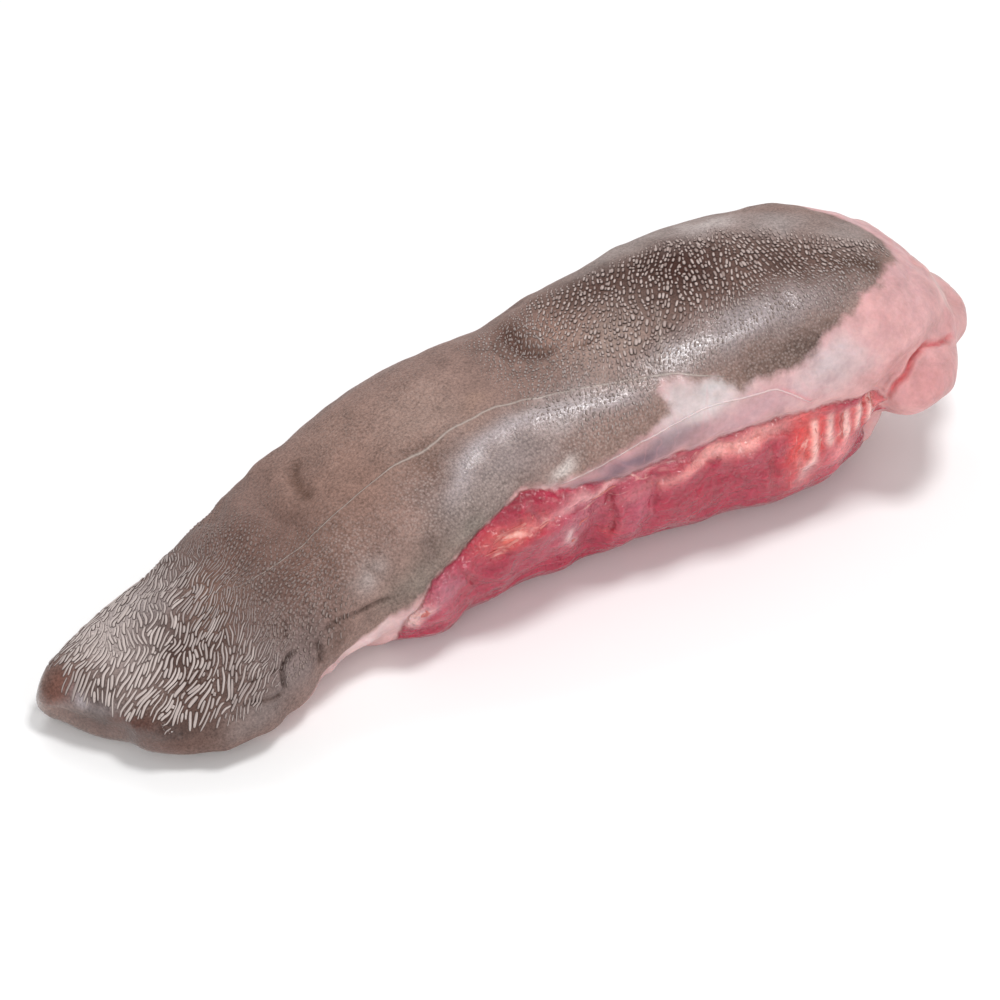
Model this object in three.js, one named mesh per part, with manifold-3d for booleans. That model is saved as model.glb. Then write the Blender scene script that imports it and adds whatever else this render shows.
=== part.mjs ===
// A whole raw beef tongue, trimmed and laid on its underside: the flat blade with its blunt, notched tip,
// the body rising to the hump at the back, the rounded root with a creased lobe at its near corner, and
// the strap of muscle left under the body. It is one piece of meat, so it is one solid.
// Millimetres, +Z up, the tip towards -X and the root towards +X. The animal's left side faces -Y.
import * as THREE from "three";
import { mergeVertices } from "three/addons/utils/BufferGeometryUtils.js";
import Module from "manifold-3d";

// Driving sizes of the whole tongue.
const TONGUE_LENGTH = 336;
const TIP_PLAN_ROUNDING = 76; // the blade reaches its full width this far behind the tip
const TIP_EDGE_ROUNDING = 16; // and its full thickness this far behind it
const ROOT_PLAN_ROUNDING = 60;
const ROOT_EDGE_ROUNDING = 58;
const SETTLING = 1.5; // its own weight spreads the flesh flat where it meets the ground

// Cross-sections of the skin-covered body. Each gives its place from the tip, how far its middle swings
// towards +Y, its half-width, the heights of its back, of its widest line and of its belly.
const BODY = [
  { at: 0, swing: -2, half: 38, back: 22, side: 10, belly: 0 },
  { at: 40, swing: -7, half: 42, back: 28, side: 11, belly: 0 },
  { at: 80, swing: 5, half: 39, back: 43, side: 17, belly: 0 },
  { at: 120, swing: 9, half: 40, back: 62, side: 33, belly: 12 },
  { at: 160, swing: 8, half: 40, back: 70, side: 47, belly: 26 },
  { at: 200, swing: 8, half: 42, back: 76, side: 52, belly: 32 },
  { at: 245, swing: 7, half: 45, back: 84, side: 54, belly: 33 },
  { at: 290, swing: 4, half: 44, back: 80, side: 50, belly: 26 },
  { at: 336, swing: 2, half: 38, back: 60, side: 42, belly: 22 },
];
const BODY_FULLNESS = 2.3; // 2 would be an ellipse, more is squarer

// Cross-sections of the muscle strap, from the ground that it lies on up to its top inside the body.
const MUSCLE = [
  { at: 82, swing: -2, half: 20, top: 14 },
  { at: 104, swing: 1, half: 33, top: 36 },
  { at: 130, swing: 4, half: 37, top: 54 },
  { at: 165, swing: 7, half: 39, top: 62 },
  { at: 215, swing: 7, half: 41, top: 67 },
  { at: 262, swing: 5, half: 43, top: 66 },
  { at: 303, swing: 4, half: 39, top: 60 },
];
const MUSCLE_FULLNESS = 2.8;
const MUSCLE_FRONT_ROUNDING = 26;
const MUSCLE_REAR_ROUNDING = 44;
const MUSCLE_FOLDS = { pitch: 41, deep: 1.6 };

// The blunt tip is two lobes with a notch between them: how far each spot is set back from the plain
// rounding of the tip. A lobe stands forward of it.
const TIP_SPOTS = [
  { at: 0, long: 34, across: 3, wide: 8, deep: -5 },
  { at: 0, long: 34, across: -22, wide: 5, deep: 4 },
  { at: 0, long: 34, across: -36, wide: 8, deep: -2 },
];

// Hollows pressed into the body: the cleft in front of the hump, and dents where the flesh has sagged.
const BODY_HOLLOWS = [
  { at: 172, long: 7, across: 3, wide: 15, deep: 5 },
  { at: 170, long: 12, across: 36, wide: 14, deep: 3 },
  { at: 99, long: 6, across: 16, wide: 13, deep: 3 },
  { at: 81, long: 5, across: 14, wide: 12, deep: 2 },
  { at: 97, long: 7, across: -40, wide: 9, deep: 3 },
  { at: 116, long: 7, across: -42, wide: 9, deep: 2.5 },
];
// Creases cut down through the near wall of the muscle.
const MUSCLE_CREASES = [
  { at: 131, long: 5, across: -44, wide: 14, deep: 3 },
  { at: 174, long: 4, across: -50, wide: 20, deep: 4 },
  { at: 192, long: 4, across: -50, wide: 16, deep: 3 },
];
const MEDIAN_GROOVE = { from: 20, to: 165, wide: 5, deep: 1.2 };
const EDGE_WRINKLES = { from: 24, to: 100, pitch: 14, deep: 1.2 };
const FAR_SIDE_SHARE = 0.4; // the far side is wrinkled less than the near side

// The lobe at the near corner of the root swells inside an arched crease.
const ROOT_LOBE = { at: 297, height: 38, long: 24, tall: 19, swell: 8, crease: 4, creaseWidth: 0.2 };

const BODY_GRID = { rings: 96, spokes: 56 };
const MUSCLE_GRID = { rings: 54, spokes: 36 };

// The sizes of a set of cross-sections at any place, by a smooth line through each.
function sizesAlong(sections) {
  const names = Object.keys(sections[0]).filter((name) => name !== "at");
  const places = sections.map((section) => section.at);
  const values = sections.flatMap((section) => names.map((name) => section[name]));
  const line = new THREE.CubicInterpolant(places, values, names.length);
  return (at) => {
    const sizes = line.evaluate(at);
    return Object.fromEntries(names.map((name, i) => [name, sizes[i]]));
  };
}

// 0 at an end, rising as a quarter circle to 1 at the rounding's length.
function quarterRound(distance, rounding) {
  const run = THREE.MathUtils.clamp(distance / rounding, 0, 1);
  return Math.sqrt(1 - (1 - run) ** 2);
}

// 1 in the middle of a spot, fading to nothing over its width.
function bell(offset, width) {
  return Math.exp(-((offset / width) ** 2));
}

// 1 between two places, fading to 0 over the margin at each.
function stretch(at, from, to, margin) {
  const { smoothstep } = THREE.MathUtils;
  return smoothstep(at, from, from + margin) * (1 - smoothstep(at, to - margin, to));
}

function spotDepth(spots, at, across) {
  const depths = spots.map((spot) => spot.deep * bell(at - spot.at, spot.long) * bell(across - spot.across, spot.wide));
  return depths.reduce((sum, depth) => sum + depth, 0);
}

function settled(height) {
  return Math.max(0, height - SETTLING);
}

// The distance from the middle of a squared-off ellipse to its edge.
function sectionRadius(cosine, sine, half, height, fullness) {
  return (Math.abs(cosine / height) ** fullness + Math.abs(sine / half) ** fullness) ** (-1 / fullness);
}

// A closed surface of rings between two poles, closer together towards the poles.
function loft({ rings, spokes }, length, pointAt) {
  const positions = [];
  const index = [];
  for (let i = 0; i <= rings; i += 1) {
    const share = THREE.MathUtils.lerp(i / rings, (1 - Math.cos((Math.PI * i) / rings)) / 2, 0.8);
    for (let j = 0; j < spokes; j += 1) {
      positions.push(...pointAt(share * length, (2 * Math.PI * j) / spokes));
    }
  }
  for (let i = 0; i < rings; i += 1) {
    for (let j = 0; j < spokes; j += 1) {
      const a = i * spokes + j;
      const b = i * spokes + ((j + 1) % spokes);
      index.push(a, b, a + spokes, b, b + spokes, a + spokes);
    }
  }
  const geometry = new THREE.BufferGeometry();
  geometry.setAttribute("position", new THREE.Float32BufferAttribute(positions, 3));
  geometry.setIndex(index);
  return mergeVertices(geometry, 1e-4);
}

// The skin-covered body. A turn of 0 is the middle of the back, a quarter turn the near side.
function bodyGeometry() {
  const sizesAt = sizesAlong(BODY);
  return loft(BODY_GRID, TONGUE_LENGTH, (at, turn) => {
    const { swing, half, back, side, belly } = sizesAt(at);
    const plan = quarterRound(at, TIP_PLAN_ROUNDING) * quarterRound(TONGUE_LENGTH - at, ROOT_PLAN_ROUNDING);
    const depth = quarterRound(at, TIP_EDGE_ROUNDING) * quarterRound(TONGUE_LENGTH - at, ROOT_EDGE_ROUNDING);
    if (plan * depth < 1e-6) {
      return [at + spotDepth(TIP_SPOTS, at, swing), swing, settled(side)];
    }
    const cosine = Math.cos(turn);
    const sine = Math.sin(turn);
    const height = (cosine > 0 ? back - side : side - belly) * depth;
    const plain = sectionRadius(cosine, sine, half * plan, height, BODY_FULLNESS);
    const sunk = bodyRelief(at, -plain * sine, cosine, sine) + lobeRelief(at, side + plain * cosine, sine);
    const radius = plain - sunk * plan;
    const y = swing - radius * sine;
    return [at + spotDepth(TIP_SPOTS, at, y), y, settled(side + radius * cosine)];
  });
}

// How far the body's surface is sunk below its plain cross-section.
function bodyRelief(at, across, cosine, sine) {
  const hollows = spotDepth(BODY_HOLLOWS, at, across) * THREE.MathUtils.smoothstep(cosine, -0.4, 0.1);
  const groove = stretch(at, MEDIAN_GROOVE.from, MEDIAN_GROOVE.to, 20) * bell(across, MEDIAN_GROOVE.wide);
  const wrinkles = stretch(at, EDGE_WRINKLES.from, EDGE_WRINKLES.to, 14) * ripple(at, EDGE_WRINKLES.pitch, cosine);
  const share = sine ** 2 * (sine > 0 ? 1 : FAR_SIDE_SHARE);
  return hollows + MEDIAN_GROOVE.deep * groove * Math.max(0, cosine) + EDGE_WRINKLES.deep * wrinkles * share;
}

// Uneven waves along the tongue, leaning as they go round the section.
function ripple(at, pitch, cosine) {
  const wave = (2 * Math.PI * at) / pitch + 2.5 * cosine;
  return 0.65 * Math.sin(wave) + 0.35 * Math.sin(1.7 * wave + 1.3);
}

// The root lobe: an arched crease with the flesh swelling inside it, on the near side alone.
function lobeRelief(at, height, sine) {
  const { long, tall, swell, crease, creaseWidth } = ROOT_LOBE;
  const ring = Math.hypot((at - ROOT_LOBE.at) / long, (height - ROOT_LOBE.height) / tall);
  const upper = THREE.MathUtils.smoothstep(height, ROOT_LOBE.height - 6, ROOT_LOBE.height + 4);
  const inside = 1 - THREE.MathUtils.smoothstep(ring, 0.3, 1);
  return (crease * bell(ring - 1, creaseWidth) * upper - swell * inside) * Math.max(0, sine);
}

// The strap of muscle, lying along the ground under the body.
function muscleGeometry() {
  const sizesAt = sizesAlong(MUSCLE);
  const first = MUSCLE[0].at;
  const length = MUSCLE.at(-1).at - first;
  return loft(MUSCLE_GRID, length, (along, turn) => {
    const at = first + along;
    const { swing, half, top } = sizesAt(at);
    const end = quarterRound(along, MUSCLE_FRONT_ROUNDING) * quarterRound(length - along, MUSCLE_REAR_ROUNDING);
    const middle = top / 2;
    if (end < 1e-6) {
      return [at, swing, settled(middle)];
    }
    const cosine = Math.cos(turn);
    const sine = Math.sin(turn);
    const plain = sectionRadius(cosine, sine, half * end, middle * end, MUSCLE_FULLNESS);
    const fold = MUSCLE_FOLDS.deep * ripple(at, MUSCLE_FOLDS.pitch, cosine) * sine ** 2;
    const radius = plain - (fold + spotDepth(MUSCLE_CREASES, at, -plain * sine)) * end;
    return [at, swing - radius * sine, settled(middle + radius * cosine)];
  });
}

const wasm = await Module();
wasm.setup();

function solidFrom(geometry) {
  const vertProperties = geometry.attributes.position.array;
  const triVerts = new Uint32Array(geometry.index.array);
  return new wasm.Manifold(new wasm.Mesh({ numProp: 3, vertProperties, triVerts }));
}

function geometryFrom(solid) {
  const { vertProperties, triVerts } = solid.getMesh();
  const geometry = new THREE.BufferGeometry();
  geometry.setAttribute("position", new THREE.BufferAttribute(vertProperties, 3));
  geometry.setIndex(new THREE.BufferAttribute(triVerts, 1));
  return geometry;
}

// The origin goes to the middle of the outline on the ground.
function centreOnGround(geometry) {
  geometry.computeBoundingBox();
  const middle = geometry.boundingBox.getCenter(new THREE.Vector3());
  geometry.translate(-middle.x, -middle.y, -geometry.boundingBox.min.z);
  geometry.computeVertexNormals();
}

const body = solidFrom(bodyGeometry());
const muscle = solidFrom(muscleGeometry());
const tongueGeometry = geometryFrom(body.add(muscle));
centreOnGround(tongueGeometry);

const tongue = new THREE.Mesh(
  tongueGeometry,
  new THREE.MeshStandardMaterial({ color: 0x8c7068, roughness: 0.5, metalness: 0 }),
);
tongue.name = "tongue";

const part = new THREE.Group();
part.add(tongue);
export default part;
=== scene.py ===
"""Looks for a whole raw beef tongue.

Ridges and papillae stand on the skin, a pale membrane covers the root, and a wet strap of muscle runs along
the side.
"""

import logging
import math
from dataclasses import dataclass, field, replace
from enum import Enum
from functools import partial
from typing import Any, Callable, Sequence

import bmesh
import bpy
import numpy as np
from mathutils import Matrix, Vector
from mathutils.bvhtree import BVHTree


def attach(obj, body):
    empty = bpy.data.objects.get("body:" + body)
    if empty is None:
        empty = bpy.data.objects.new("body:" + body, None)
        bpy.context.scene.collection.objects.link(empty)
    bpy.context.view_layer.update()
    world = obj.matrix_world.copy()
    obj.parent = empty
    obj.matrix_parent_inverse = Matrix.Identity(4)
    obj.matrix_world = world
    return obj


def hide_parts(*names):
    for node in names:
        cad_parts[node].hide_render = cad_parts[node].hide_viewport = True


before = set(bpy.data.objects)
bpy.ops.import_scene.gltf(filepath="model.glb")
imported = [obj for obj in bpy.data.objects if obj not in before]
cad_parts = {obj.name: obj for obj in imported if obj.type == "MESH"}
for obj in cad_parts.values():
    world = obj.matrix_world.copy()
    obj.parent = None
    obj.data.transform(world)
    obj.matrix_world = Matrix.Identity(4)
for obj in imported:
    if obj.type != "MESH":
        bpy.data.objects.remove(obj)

log = logging.getLogger("beef_tongue")

Array = np.ndarray
# Millimetres along from the middle, and degrees round from the top: 90 is the near side, -90 the far side.
Place = tuple[float, float]
MM = 0.001
TINY = 1e-9
# A distance in millimetres that stands for out of reach.
FAR_OFF = 1e3
# The least share that a line keeps where it has faded away, so that its distance stays finite.
FAINT = 0.02
# Millimetres that the far side's marks lie further back than those of the near side.
FAR_SHIFT = 7.0
# Shares of the way that a relaxed net's points move towards their neighbours, and then away from them.
PULLS = (0.5, -0.52)
# Degrees round at which the edges of a region close, past the top or past the middle of the belly.
PAST_TOP, PAST_BELLY = -70.0, 250.0
# What turns a cell's number to a random value.
CELL_PRIMES = np.array([374761393, 668265263, 1440662683])
SEED_PRIME, MIX_PRIME, WORD = 982451653, 1274126177, 0xFFFFFFFF
# The least upward share of the skin's normal where papillae grow.
STEEPEST = 0.25
# A height in millimetres that stands for a plumb line that misses.
NOWHERE = -99.0
# A height in metres above the tongue, from which plumb lines are dropped.
OVERHEAD = 0.2
DOWN = Vector((0, 0, -1))
# Settings of shader nodes that recur.
SMOOTH = {"interpolation_type": "SMOOTHSTEP"}
RGBA = {"out": 2, "data_type": "RGBA"}


class Side(Enum):
    """The two long sides of the tongue. The near one faces the camera."""

    NEAR = 1
    FAR = -1


class Layer(Enum):
    """What lies at the surface. Each has a colour painted on the vertices."""

    SKIN = "skin_paint"
    MEMBRANE = "membrane_paint"
    MUSCLE = "muscle_paint"


def linear(colour: str) -> Array:
    """Turn an sRGB hex colour to linear light.

    Args:
        colour: Six hex digits after a #.

    Returns:
        Red, green and blue from 0 to 1.
    """
    parts = np.array([int(colour[i : i + 2], 16) for i in (1, 3, 5)]) / 255
    return np.where(parts <= 0.04045, parts / 12.92, ((parts + 0.055) / 1.055) ** 2.4)


def eased(value: Array, low: float, high: float) -> Array:
    """Rise smoothly from 0 at low to 1 at high."""
    run = np.clip((value - low) / (high - low), 0, 1)
    return run * run * (3 - 2 * run)


def sinking(value: Array, high: float, low: float) -> Array:
    """Fall smoothly from 1 at the first limit to 0 at the second."""
    return 1 - eased(value, high, low)


def between(value: Array, low: float, rise: float, fall: float, high: float) -> Array:
    """Rise smoothly to 1 over the first two limits and fall back to 0 over the last two."""
    return eased(value, low, rise) * sinking(value, fall, high)


def bell(value: Array, width: float) -> Array:
    """A smooth bump: 1 where a value is 0, fading over the width."""
    return np.exp(-((value / width) ** 2))


def smoothed(values: Array, rounds: int) -> Array:
    """Even out a row of values, keeping its ends."""
    for _ in range(rounds):
        values[1:-1] = (values[:-2] + 2 * values[1:-1] + values[2:]) / 4
    return values


def soft_noise(points: Array, size: float | Sequence[float], seed: int = 0) -> Array:
    """Smooth noise in space.

    Args:
        points: Points, one in each row.
        size: How far apart its random values are, for each direction or for all.
        seed: Chooses the noise.

    Returns:
        A value from -1 to 1 for each point.
    """
    scaled = points / np.asarray(size, float)
    cell = np.floor(scaled).astype(np.int64)
    part = scaled - cell
    part = part**3 * (part * (part * 6 - 15) + 10)
    total = np.zeros(len(points))
    for corner in np.ndindex(2, 2, 2):
        at = cell + np.array(corner)
        mixed = (at @ CELL_PRIMES + seed * SEED_PRIME) & WORD
        mixed = ((mixed ^ (mixed >> 13)) * MIX_PRIME) & WORD
        mixed ^= mixed >> 16
        share = np.prod(np.where(np.array(corner) == 1, part, 1 - part), axis=1)
        total += share * (mixed / (WORD // 2) - 1)
    return total


def flat_noise(spots: Array, size: float, seed: int) -> Array:
    """Smooth noise at flat spots."""
    return soft_noise(np.column_stack([spots, np.zeros(len(spots))]), size, seed)


def coords(mesh: bpy.types.Mesh) -> Array:
    """A mesh's points in metres."""
    raw = np.empty(len(mesh.vertices) * 3, np.float32)
    mesh.vertices.foreach_get("co", raw)
    return raw.reshape(-1, 3).astype(float)


def set_coords(mesh: bpy.types.Mesh, points: Array) -> None:
    """Move a mesh's points, in metres."""
    mesh.vertices.foreach_set("co", points.astype(np.float32).ravel())
    mesh.update()


def ray_tree(mesh: bpy.types.Mesh) -> BVHTree:
    """What finds where rays meet a mesh."""
    return BVHTree.FromPolygons([v.co for v in mesh.vertices], [p.vertices for p in mesh.polygons])


@dataclass(frozen=True)
class Spine:
    """A line along the inside of the tongue, from which every place on the surface is named."""

    along: Sequence[float] = (-170, -140, -110, -80, -50, 0, 50, 90, 120, 145, 170)
    across: Sequence[float] = (-5, -10, -7, 2.5, 4, 3.2, 4.2, 3, 0, -2, -1)
    height: Sequence[float] = (10, 12, 15, 22, 29, 34, 39, 41, 42, 45, 42)
    half_width: Sequence[float] = (30, 32, 39, 40, 41, 40, 43, 45, 44, 38, 32)
    half_height: Sequence[float] = (9, 12, 16, 22, 29, 34, 39, 41, 40, 32, 26)

    def at(self, along: Array, line: Sequence[float]) -> Array:
        """Read one of the spine's lines at places along it."""
        return np.interp(along, self.along, line)

    def turn(self, points: Array) -> Array:
        """Degrees round from the top for points in millimetres."""
        x = points[:, 0]
        side = -(points[:, 1] - self.at(x, self.across)) / self.at(x, self.half_width)
        up = (points[:, 2] - self.at(x, self.height)) / self.at(x, self.half_height)
        return np.degrees(np.arctan2(side, up))

    def radius(self, along: Array) -> Array:
        """The mean distance from the spine to the surface."""
        return (self.at(along, self.half_width) + self.at(along, self.half_height)) / 2

    def unrolled(self, along: Array, turn: Array) -> Array:
        """Millimetres along and round the surface, as if its skin lay flat."""
        return np.stack([along, np.radians(turn) * self.radius(along)], axis=1)

    def ray(self, along: float, turn: float) -> tuple[Vector, Vector]:
        """Where a line from the spine out to a place starts, in metres, and its direction."""
        angle = math.radians(turn)
        start = Vector((along, float(self.at(along, self.across)), float(self.at(along, self.height)))) * MM
        wide, tall = float(self.at(along, self.half_width)), float(self.at(along, self.half_height))
        return start, Vector((0, -math.sin(angle) * wide, math.cos(angle) * tall)).normalized()


@dataclass(frozen=True)
class Outline:
    """A region of the surface: an edge on each side of the tongue, closed over the back or under the belly."""

    near: Sequence[Place]
    far: Sequence[Place]
    over_back: bool

    def inside(self, along: Array, turn: Array, spine: Spine) -> Array:
        """How far each place is inside the region.

        Args:
            along: Millimetres along.
            turn: Degrees round.
            spine: The spine of the tongue.

        Returns:
            Millimetres inside the edge, below 0 outside it.
        """
        result = np.zeros(len(along))
        beyond = PAST_TOP if self.over_back else PAST_BELLY
        for side, edge in ((Side.NEAR, self.near), (Side.FAR, self.far)):
            chosen = np.sign(turn + TINY) == side.value
            ends = [(edge[-1][0], beyond), (edge[0][0], beyond)]
            ring = np.array([*edge, *ends], float)
            corners = spine.unrolled(ring[:, 0], ring[:, 1])
            spots = spine.unrolled(along[chosen], np.abs(turn[chosen]))
            result[chosen] = signed_distance(spots, corners)
        return result


def from_piece(spots: Array, start: Array, end: Array) -> tuple[Array, Array]:
    """How far spots are from a straight piece of line, and how far along it the nearest place is (0 to 1)."""
    run = end - start
    share = np.clip(((spots - start) @ run) / max(run @ run, TINY), 0, 1)
    return np.linalg.norm(spots - start - share[:, None] * run, axis=1), share


def signed_distance(spots: Array, corners: Array) -> Array:
    """How far flat points are inside a closed outline, below 0 outside it."""
    nearest = np.full(len(spots), np.inf)
    within = np.zeros(len(spots), bool)
    for start, end in zip(corners, np.roll(corners, -1, axis=0)):
        nearest = np.minimum(nearest, from_piece(spots, start, end)[0])
        run = end - start
        crosses = (start[1] > spots[:, 1]) != (end[1] > spots[:, 1])
        rise = run[1] if abs(run[1]) > TINY else TINY
        within ^= crosses & (spots[:, 0] < start[0] + (spots[:, 1] - start[1]) / rise * run[0])
    return np.where(within, nearest, -nearest)


@dataclass(frozen=True)
class Line:
    """A crease, or with a depth below 0 a raised line, drawn on the surface.

    Its banks rise beside it by a share of its depth, and its colour, where it has one, lies along it. Where a
    crease's colour is darker than the surface round it, it is painted shade in the crease.
    """

    path: Sequence[Place]
    depth: float
    width: float
    banks: float = 0.3
    wander: float = 0.5
    colour: str = ""
    colour_width: float = 1.0

    def mirrored(self) -> "Line":
        """The same line on the far side, moved along."""
        return replace(self, path=[(x + FAR_SHIFT, -turn) for x, turn in self.path])


@dataclass(frozen=True)
class Spot:
    """A soft patch of colour, or a soft rise or hollow, on the surface."""

    place: Place
    long: float
    round: float
    colour: str = "#000000"
    share: float = 1.0
    rise: float = 0.0

    def mirrored(self) -> "Spot":
        """The same spot on the far side, moved along."""
        return replace(self, place=(self.place[0] + FAR_SHIFT, -self.place[1]))


@dataclass
class SurfaceMap:
    """The base surface's points with their names, and the rays that find places on it."""

    mesh: bpy.types.Mesh
    spine: Spine
    points: Array = field(init=False)
    normals: Array = field(init=False)
    turn: Array = field(init=False)
    flat: Array = field(init=False)

    def __post_init__(self) -> None:
        """Read the mesh."""
        self.points = coords(self.mesh) / MM
        raw = np.empty(self.points.size, np.float32)
        self.mesh.vertices.foreach_get("normal", raw)
        self.normals = raw.reshape(-1, 3).astype(float)
        self.turn = self.spine.turn(self.points)
        self.flat = self.spine.unrolled(self.along, self.turn)
        self._tree = ray_tree(self.mesh)
        self._drift = np.stack([soft_noise(self.points, 6, seed) for seed in (21, 22)], axis=1)
        self._found: dict[str, tuple[Array, Array]] = {}

    @property
    def along(self) -> Array:
        """Millimetres along the tongue for each vertex."""
        return self.points[:, 0]

    def trace(self, line: Line) -> Array:
        """Lay a line on the surface.

        Args:
            line: The line by its places.

        Returns:
            Its points in millimetres, about one for each millimetre.
        """
        places = np.array(line.path, float)
        flat = self.spine.unrolled(places[:, 0], places[:, 1])
        reach = np.concatenate([[0], np.cumsum(np.linalg.norm(np.diff(flat, axis=0), axis=1))])
        steps = np.linspace(0, reach[-1], max(3, int(reach[-1])))
        x, turn = (smoothed(np.interp(steps, reach, places[:, i]), 3) for i in (0, 1))
        found = [self._tree.ray_cast(*self.spine.ray(*place))[0] for place in zip(x, turn)]
        path = np.array([tuple(point) for point in found if point is not None]) / MM
        drift = np.stack([soft_noise(path, 7, seed) for seed in (11, 12, 13)], axis=1)
        return path + drift * line.wander

    def near_line(self, line: Line) -> tuple[Array, Array]:
        """How near each vertex is to a line.

        Args:
            line: The line by its places.

        Returns:
            Millimetres from the line, and the share of it at that place: 1 in the middle, 0 at an end.
        """
        key = repr(line)
        if key in self._found:
            return self._found[key]
        path = self.trace(line)
        distance = np.full(len(self.points), FAR_OFF)
        share = np.zeros(len(self.points))
        margin = max(line.width, line.colour_width) * 4
        close = np.all((self.points > path.min(0) - margin) & (self.points < path.max(0) + margin), axis=1)
        spots = self.points[close]
        best, where = distance[close], share[close]
        for i, (start, end) in enumerate(zip(path[:-1], path[1:])):
            gap, part = from_piece(spots, start, end)
            nearer = gap < best
            best = np.where(nearer, gap, best)
            where = np.where(nearer, (i + part) / (len(path) - 1), where)
        distance[close], share[close] = best, where
        self._found[key] = distance, between(share, 0, 0.2, 0.8, 1)
        return self._found[key]

    def beside(self, path: Sequence[Place]) -> Array:
        """Millimetres round from a line that runs the length of the tongue, above 0 on its near side."""
        places = np.array(path, float)
        steps = np.linspace(places[0, 0], places[-1, 0], 60)
        turn = smoothed(np.interp(steps, places[:, 0], places[:, 1]), 2)
        line = self.spine.unrolled(steps, turn)[:, 1]
        slope = np.interp(self.along, steps, np.gradient(line, steps))
        return (self.flat[:, 1] - np.interp(self.along, steps, line)) / np.sqrt(1 + slope**2)

    def spot(self, spot: Spot, drift: float = 0.0) -> Array:
        """The share of a spot at each vertex: 1 in its middle, fading over its size.

        Args:
            spot: The spot.
            drift: Millimetres that its edge wanders.

        Returns:
            A share for each vertex.
        """
        x, turn = spot.place
        middle = self.spine.unrolled(np.array([x]), np.array([turn]))[0]
        offset = self.flat - middle + drift * self._drift
        return np.exp(-((offset[:, 0] / spot.long) ** 2) - (offset[:, 1] / spot.round) ** 2)


def new_object(name: str, mesh: bpy.types.Mesh) -> bpy.types.Object:
    """Put a mesh in the scene as an object at the origin."""
    thing = bpy.data.objects.new(name, mesh)
    bpy.context.scene.collection.objects.link(thing)
    return thing


def finished_mesh(bm: bmesh.types.BMesh, name: str) -> bpy.types.Mesh:
    """Turn a bmesh into a mesh and free it."""
    mesh = bpy.data.meshes.new(name)
    bm.to_mesh(mesh)
    bm.free()
    return mesh


def dress(mesh: bpy.types.Mesh, material: bpy.types.Material) -> None:
    """Shade a mesh smoothly and give it its material."""
    for polygon in mesh.polygons:
        polygon.use_smooth = True
    mesh.materials.append(material)


def add_node(tree: bpy.types.NodeTree, kind: str, inputs: Any, out: int | str = 0, **settings: Any) -> Any:
    """Add a shader node.

    Args:
        tree: The tree that it goes into.
        kind: The node's type name, without the ShaderNode in front.
        inputs: Its inputs by name or number, or its first ones in order. A socket is linked, a hex colour is
            turned to linear light and anything else is set.
        out: The output that is wanted.
        settings: Its properties by name.

    Returns:
        The socket of that output, or None for a node without outputs.
    """
    node = tree.nodes.new("ShaderNode" + kind)
    for name, value in settings.items():
        setattr(node, name, value)
    for name, value in inputs.items() if isinstance(inputs, dict) else enumerate(inputs):
        if isinstance(value, bpy.types.NodeSocket):
            tree.links.new(value, node.inputs[name])
        else:
            node.inputs[name].default_value = (*linear(value), 1) if isinstance(value, str) else value
    return node.outputs[out] if node.outputs else None


def blank_material(name: str) -> tuple[bpy.types.Material, Callable[..., Any]]:
    """An empty material, and the function that adds a node to it."""
    material = bpy.data.materials.new(name)
    material.use_nodes = True
    material.node_tree.nodes.clear()
    return material, partial(add_node, material.node_tree)


@dataclass(frozen=True)
class Pattern:
    """A soft random pattern, sized in millimetres, or in the fibres' own unit where it runs along them."""

    size: float
    detail: float
    roughness: float = 0.6
    distortion: float = 0.0
    on_fibre: bool = False


@dataclass(frozen=True)
class Mixer:
    """Mixes a layered material from sockets that it keeps by name."""

    node: Callable[..., Any]
    sockets: dict[Any, Any]

    def total(self, weights: dict[str, float], start: float = 0.0) -> Any:
        """Add up sockets.

        Args:
            weights: What each socket is multiplied by.
            start: What the sum starts from.

        Returns:
            The socket with the sum.
        """
        result: Any = start
        for name, weight in weights.items():
            result = self.node("Math", [self.sockets[name], weight, result], operation="MULTIPLY_ADD")
        return result

    def painted(self, layer: Layer, light: Any, coats: dict[str, tuple[float, str]]) -> Any:
        """Shade a layer's painted colour and lay flat colours over it.

        Args:
            layer: The layer.
            light: The socket with its lightness.
            coats: The strength and the colour that go with the share in each socket.

        Returns:
            The socket with the colour.
        """
        colour = self.node("VectorMath", {0: self.sockets[layer], "Scale": light}, operation="SCALE")
        for name, (strength, flat) in coats.items():
            share = self.total({name: strength})
            colour = self.node("Mix", {0: share, 6: colour, 7: flat}, **RGBA)
        return colour

    def edge(self, distance: str, ragged: float, blur: float) -> Any:
        """Turn millimetres inside an edge to a share with a ragged outline.

        Args:
            distance: The socket with the distance.
            ragged: Millimetres that the outline wanders.
            blur: Millimetres over which it fades.

        Returns:
            The socket with the share.
        """
        moved = self.total({"wander": ragged, distance: 1.0}, -ragged / 2)
        return self.node("MapRange", [moved, -blur, blur], **SMOOTH)

    def band(self, weights: dict[str, float], start: float, width: float) -> Any:
        """A soft band along the places where a sum of sockets is 0.

        Args:
            weights: What each socket is multiplied by.
            start: What the sum starts from.
            width: Half the band's width, in the sum's unit.

        Returns:
            The socket with the share.
        """
        away = self.node("Math", [self.total(weights, start)], operation="ABSOLUTE")
        return self.node("MapRange", [away, width, 0.0], **SMOOTH)


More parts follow.
